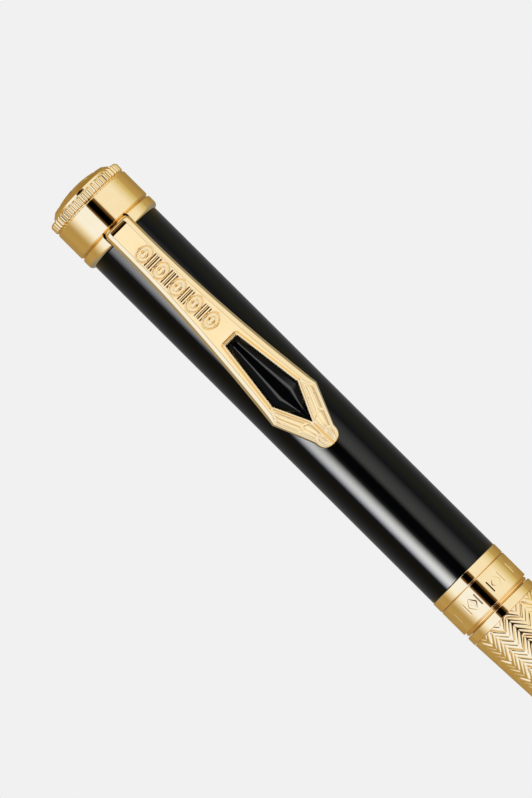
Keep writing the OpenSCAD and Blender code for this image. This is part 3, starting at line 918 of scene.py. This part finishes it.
def make_lower_ring():
    start, end, outer = sizes("lower_ring")
    flange, seat = 4.45, 5.0
    foot = end - 0.02
    outline = filleted([
        (start, flange, 0.04), (start, outer, 0.20), (foot, outer, 0.03), (foot, seat, 0),
        (start + 0.4, seat, 0), (start + 0.4, flange, 0),
    ])
    dressed(turned("lower_ring_turned", outline, 256), "gold", "lower", "lower_ring")


def chevron_profile():
    """One period of the engraving as (share of the period, depth in mm): flat lands and grooves."""
    # each groove's (middle, half-width), as shares of the period, and its depth
    grooves = ((0.0, 0.085, 0.17), (0.25, 0.040, 0.05), (0.48, 0.060, 0.09), (0.72, 0.040, 0.05))
    slope, slope_depth = 0.55, 0.35  # where a groove's gentle side turns steep
    rows = []
    for centre, half, depth in grooves:
        rows += [(centre - half, 0.0), (centre - half * slope, depth * slope_depth), (centre, depth)]
        rows += [(centre + half * slope, depth * slope_depth), (centre + half, 0.0)]
    return sorted(rows)


def chevron_sheet(bm, ring_end, edge, end):
    """The engraving unrolled, as a sheet of (s, degrees round the barrel, depth) from edge to end."""
    chevrons = 12
    facets = 12  # to each arm of a chevron
    period = 3.35
    swing = 1.42  # how far a chevron's point lies from its ends
    first_groove = ring_end + 0.9
    offset = 3  # degrees from the clip to the first point
    rows = []
    first = int((edge - ring_end - 2 * swing) / period) - 1
    for k in range(first, int((end - edge) / period) + 2):
        rows += [(first_groove + (k + share) * period, depth) for share, depth in chevron_profile()]
    columns = chevrons * 2 * facets
    grid = []
    for i in range(columns + 1):
        angle = 360 * i / columns
        arm = abs(((angle - offset) / (360 / chevrons)) % 1 - 0.5) * 2  # 1 at the points towards the crown
        soft = mix(arm, smooth(arm, -0.2, 1.2), 0.12)
        grid.append([bm.verts.new((s - swing * (soft - 0.5), angle, depth)) for s, depth in rows])
    for a, b in zip(grid, grid[1:]):
        for j in range(len(rows) - 1):
            bm.faces.new((a[j], b[j], b[j + 1], a[j + 1]))
    for at, normal in ((edge, (-1, 0, 0)), (end, (1, 0, 0))):
        geometry = [*bm.verts, *bm.edges, *bm.faces]
        bmesh.ops.bisect_plane(
            bm, geom=geometry, plane_co=(at, 0, 0), plane_no=normal, clear_outer=True, dist=1e-4
        )


def edge_loop(bm, at):
    """The open edges of bm at that s."""
    return [e for e in bm.edges if e.is_boundary and all(abs(v.co.x - at) < 1e-3 for v in e.verts)]


def drawn_on(bm, loop, s, r):
    """Carries an open loop on to radius r at s, and returns the new loop."""
    made = bmesh.ops.extrude_edge_only(bm, edges=loop)["geom"]
    for v in made:
        if isinstance(v, bmesh.types.BMVert):
            scale = r / hypot(v.co.y, v.co.z)
            v.co = (s, v.co.y * scale, v.co.z * scale)
    return [e for e in made if isinstance(e, bmesh.types.BMEdge) and e.is_boundary]


def make_lower_barrel():
    """Tapering barrel engraved all round with chevrons, on a plain sleeve that takes the thread."""
    ring_end = span("lower_ring")[1]
    start, end, top_r = sizes("lower_barrel")
    end_r = radius("nose_ring") - 0.1
    edge = ring_end + 0.05

    def outside(s):
        return mix(top_r, end_r, (s - ring_end) / (end - ring_end))

    bm = bmesh.new()
    chevron_sheet(bm, ring_end, edge, end)
    for v in bm.verts:
        s, angle, depth = v.co
        r = outside(s) - depth
        turn = radians(angle)
        v.co = (s, -r * sin(turn), r * cos(turn))
    bmesh.ops.remove_doubles(bm, verts=bm.verts, dist=0.004)
    sleeve_r, thread_r, wall_r, bore = 5.0, 4.7, 3.9, 3.5
    thread_end, wall_end = ring_end + 8.1, end - 10
    inside = (
        (edge, outside(edge) - 0.22), (ring_end, outside(edge) - 0.24), (ring_end, sleeve_r),
        (start, sleeve_r),
        (start, thread_r), (thread_end, thread_r), (thread_end, wall_r), (wall_end, wall_r),
        (wall_end, bore),
    )
    mouth = edge_loop(bm, edge)
    for s, r in inside:
        mouth = drawn_on(bm, mouth, s, r)
    toe = drawn_on(bm, edge_loop(bm, end), end, bore)
    bmesh.ops.bridge_loops(bm, edges=mouth + toe)
    piece = finished("lower_barrel_engraved", bm, sharp=50)
    dressed(piece, "gold_engraved", "lower", "lower_barrel")


def make_nose_ring():
    start, end, outer = sizes("nose_ring")
    inner = 3.5
    outline = filleted([(start, inner, 0), (start, outer, 0.28), (end, outer, 0.28), (end, inner, 0)])
    dressed(turned("nose_ring_bead", outline, 224), "gold", "lower", "nose_ring")


def make_nose_cone():
    """Curved cone that ends in a small rounded opening."""
    ring_start, ring_end = span("nose_ring")
    start, tip, top_r = sizes("nose_cone")
    tip_r = 1.7
    bore, spring_r, inner, spigot_r = 1.27, 2.2, 3.15, 3.5
    full = tip - ring_end + (ring_end - ring_start)
    curve = []
    for s in steps(ring_end, tip - 0.22, 48):
        z = tip - s
        curve.append((s, tip_r + (top_r - tip_r) * (1 - (1 - z / full) ** 2.1)))
    mouth = filleted([
        (*curve[-1], 0), (tip, curve[-1][1] - 0.05, 0.14), (tip, bore + 0.12, 0.05),
        (tip - 0.12, bore, 0.03),
        (tip - 7.5, bore, 0),
    ], closed=False)
    inside = [(tip - 7.5, spring_r), (tip - 10.5, spring_r), (tip - 12.2, inner)]
    inside += [(start, inner), (start, spigot_r), (ring_end, spigot_r)]
    dressed(turned("nose_cone_turned", [*curve[:-1], *mouth, *inside], 224), "gold", "lower", "nose_cone")


def make_return_spring():
    """Compression spring with closed end turns, seated in the nose."""
    start, end = span("return_spring")
    wire = 0.2
    mean = radius("return_spring") - wire
    turns = 6
    dead = 0.75
    rise = wire * 2.1
    low, high = start + wire, end - wire
    path = []
    for t in steps(0, turns, turns * 40):
        if t < dead:
            s = low + rise * t
        elif t > turns - dead:
            s = high - rise * (turns - t)
        else:
            s = mix(low + rise * dead, high - rise * dead, (t - dead) / (turns - 2 * dead))
        path.append((s, mean * sin(2 * pi * t), mean * cos(2 * pi * t)))
    dressed(swept("return_spring_coil", path, wire, sides=10), "steel", "lower", "return_spring")


# ---- CAD nodes that stay ----


def dress_kept_nodes():
    """Materials for the CAD nodes that are shown as they are, all of them inside the pen."""
    looks = {
        "brass": ("crown_stud", "top_plug", "barrel_insert"),
        "steel": ("clip_ring", "retaining_ring", "follower_pin", "ball_spring"),
        "nylon": ("thrust_bush", "cam_sleeve"),
        "rubber": ("barrel_o_ring",),
        "grease": ("ink_float",),
        "ink": ("ink_column",),
        "carbide": ("tip_ball",),
    }
    for look, nodes in looks.items():
        for node in nodes:
            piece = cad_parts[node]
            piece.data.materials.clear()
            piece.data.materials.append(MATERIALS[look])


# ---- studio ----

PAPER = (0.879, 0.879, 0.879)  # the pale grey of the floor and backdrop, linear
TAN = (0.99, 1.07, 1.28)  # bluish, and mirrored by the gold as tan
WHITE = (1.0, 1.22, 1.90)  # bluish, and mirrored by the gold as near white
GOLDEN = (0.70, 0.68, 0.42)
AMBER = (0.48, 0.385, 0.19)
COLD = (1.0, 1.10, 1.44)  # mirrored by the lacquer as a neutral grey
BROWN = (0.22, 0.12, 0.03)  # the rim of the dark gap
# the floor as the pen mirrors it, close by and further out
FLOOR_CLOSE = (0.41, 0.30, 0.125)
FLOOR_CLOSE_BACK = (0.34, 0.25, 0.09)  # on the +Y side
FLOOR_FURTHER = (0.50, 0.40, 0.20)
DULL_CLOSE, DULL_FURTHER = (0.27, 0.27, 0.27), (0.36, 0.36, 0.36)


def make_world():
    """Studio surroundings as a function of direction: two long softboxes with a dark gap over the pen.

    turn is the angle round the pen's axis from straight up, in degrees, positive towards -Y, and along
    is the direction's share towards the pen's tip. The softboxes fade into warm walls. The sloping
    clip has a lamp of its own in the gap.
    """
    world = bpy.data.worlds.new("studio")
    bpy.context.scene.world = world
    world.use_nodes = True
    n = Nodes(world.node_tree)
    direction = n.add("ShaderNodeTexCoord").outputs["Generated"]
    along, side, up = n.add("ShaderNodeSeparateXYZ", in0=direction).outputs
    turn = n.math("MULTIPLY", n.math("ARCTAN2", n.math("MULTIPLY", side, -1.0), up), 180 / pi)
    left = n.blend(n.ramp(turn, 48.0, 70.0), WHITE, TAN)
    left = n.blend(n.ramp(turn, 56.0, 92.0), left, AMBER)
    right = n.blend(n.ramp(turn, -60.0, -104.0), TAN, GOLDEN)
    colour = n.blend(n.ramp(turn, -1.0, 1.0), right, left)
    gap = n.math("MULTIPLY", n.ramp(turn, -17.0, -3.0), n.ramp(turn, 8.0, 18.0, 1.0, 0.0))
    gap = n.math("MULTIPLY", gap, n.ramp(along, 0.15, 0.35, 1.0, 0.35))
    gap = n.math("MULTIPLY", gap, n.ramp(along, -0.95, -0.60, 0.5, 1.0))
    colour = n.blend(n.ramp(gap, 0.0, 0.40), colour, BROWN)
    shade = n.math("SUBTRACT", 1.0, n.math("MULTIPLY", gap, gap))
    studio = n.add("ShaderNodeBackground", in0=colour, in1=shade).outputs[0]
    paper = n.add("ShaderNodeBackground", in0=(*PAPER, 1), in1=1.0).outputs[0]
    output = n.add("ShaderNodeOutputWorld")
    n.feed(output.inputs["Surface"], n.for_camera(paper, studio))


def make_floor():
    """Pale floor that looks flat grey; the pen mirrors it as warm, and as neutral beside the lacquer."""
    half = 3.0
    below = -0.00002
    mesh = bpy.data.meshes.new("floor")
    corners = [(x, y, below) for x, y in ((-half, -half), (half, -half), (half, half), (-half, half))]
    mesh.from_pydata(corners, [], [(0, 1, 2, 3)])
    floor = added("floor", mesh)
    material = bpy.data.materials.new("floor_paper")
    material.use_nodes = True
    n = Nodes(material.node_tree)
    where = n.add("ShaderNodeTexCoord").outputs["Object"]
    along, side, _ = n.add("ShaderNodeSeparateXYZ", in0=where).outputs
    aside = n.math("ABSOLUTE", side)
    close = n.blend(n.ramp(side, -0.004, 0.004), FLOOR_CLOSE, FLOOR_CLOSE_BACK)
    warm = n.blend(n.ramp(aside, 0.005, 0.024), close, FLOOR_FURTHER)
    dull = n.blend(n.ramp(aside, 0.005, 0.024), DULL_CLOSE, DULL_FURTHER)
    low, high = (place(s, 0, 0)[0] for s in (span("clip_collar")[1], span("trim_ring")[0]))
    edge = 0.001
    past, before = n.ramp(along, low - edge, low + edge), n.ramp(along, high - edge, high, 1.0, 0.0)
    middle = n.blend(n.math("MULTIPLY", past, before), warm, dull)
    far = n.blend(n.ramp(side, -0.01, 0.01), AMBER, GOLDEN)
    colour = n.blend(n.ramp(aside, 0.020, 0.090), middle, far)
    output = n.add("ShaderNodeOutputMaterial")
    n.feed(output.inputs["Surface"], n.for_camera(n.emission(PAPER), n.emission(colour)))
    mesh.materials.append(material)


LONG = (-0.25, 0.15)  # a lamp's reach


def lit_alone(name, piece):
    """A collection of one piece, so that a lamp can light that piece alone."""
    group = bpy.data.collections.new(name)
    group.objects.link(bpy.data.objects[piece])
    return group


def strip_light(name, receivers, turn, spread, reach, radiance, fall=(1.0, 1.0), colour=COLD):
    """A soft-edged strip turn degrees round from straight up, towards -Y, that lights only receivers.

    spread is its half-width in degrees as (towards straight up, away from it), reach is its (lowest,
    highest) X in metres, and fall gives its strength at the lowest and at the highest X.
    """
    distance = 0.5
    width = [distance * tan(radians(x)) for x in spread]
    sign = copysign(1.0, turn)
    length = reach[1] - reach[0]
    data = bpy.data.lights.new(name, "AREA")
    data.shape = "RECTANGLE"
    data.size, data.size_y = length, sum(width)
    data.color = colour
    data.energy = radiance * pi * data.size * data.size_y
    data.use_nodes = True
    n = Nodes(data.node_tree)
    spot = n.add("ShaderNodeNewGeometry").outputs["Parametric"]
    u, v, _ = n.add("ShaderNodeSeparateXYZ", in0=spot).outputs
    centre = width[0] / sum(width)
    profile = n.math("MULTIPLY", n.ramp(v, 0.0, centre), n.ramp(v, centre, 1.0, 1.0, 0.0))
    if sign > 0:
        fall = fall[::-1]  # on the -Y side u runs towards the crown
    along = n.ramp(u, 0.0, 1.0, *fall)
    output = n.add("ShaderNodeOutputLight")
    n.feed(output.inputs["Surface"], n.emission((1.0, 1.0, 1.0), n.math("MULTIPLY", profile, along)))
    lamp = added(name, data)
    angle = radians(turn)
    away = Vector((0, -sin(angle), cos(angle)))
    across = Vector((0, -cos(angle), -sin(angle))) * sign  # away from straight up
    along_x = across.cross(away)
    shift = (width[1] - width[0]) / 2
    lamp.matrix_world = Matrix((along_x, across, away)).transposed().to_4x4()
    lamp.matrix_world.translation = Vector((sum(reach) / 2, 0, AXIS_Z)) + away * distance + across * shift
    lamp.visible_camera = False
    lamp.visible_diffuse = False
    lamp.light_linking.receiver_collection = receivers


def make_strips():
    """Highlights on the lacquer, on the clip's face and on its stone."""
    lacquer = lit_alone("lacquered", "lacquered_tube")
    stone = lit_alone("stones", "clip_stone")
    clip = lit_alone("clips", "clip_body")
    strip_light("strip_key", lacquer, 44.5, (25, 25), (-0.13, 0.07), 157.0, (0.20, 1.30))
    strip_light("strip_fill", lacquer, -24.0, (17, 42), LONG, 10.0)
    strip_light("clip_face_fill", clip, 1.0, (19, 17), (-0.19, 0.35), 1.12, colour=TAN)
    strip_light("stone_left", stone, 18.0, (17, 22), LONG, 24.0)
    strip_light("stone_right", stone, -34.0, (22, 22), LONG, 22.0)


def make_camera():
    """Overhead camera a metre up; the pen runs from the upper left to the lower right of the picture."""
    roll = radians(44.9)
    aim = Vector((CROWN_X + 0.03734, -0.00201, AXIS_Z))
    eye = Vector((0.007, -0.0265, AXIS_Z + 1.006))
    data = bpy.data.cameras.new("camera")
    data.sensor_width = 36.0
    data.lens = 347.4
    data.clip_start, data.clip_end = 0.05, 20.0
    camera = added("camera", data)
    back = (eye - aim).normalized()
    up = Vector((-sin(roll), cos(roll), 0))
    right = up.cross(back).normalized()
    up = back.cross(right)
    camera.matrix_world = Matrix((right, up, back)).transposed().to_4x4()
    camera.matrix_world.translation = eye
    bpy.context.scene.camera = camera


def main():
    jobs = (
        make_medallion, make_reeded_ring, make_crown_cap, make_clip_collar, make_clip, make_stone,
        make_upper_barrel, make_trim_ring, make_band, make_guide_tube, make_refill_body,
        make_refill_point, make_refill_plug, make_follower, make_lower_ring, make_lower_barrel,
        make_nose_ring, make_nose_cone, make_return_spring, dress_kept_nodes, make_world,
        make_floor, make_strips, make_camera,
    )
    for job in jobs:
        job()
    bpy.context.scene.view_settings.view_transform = "Standard"


main()
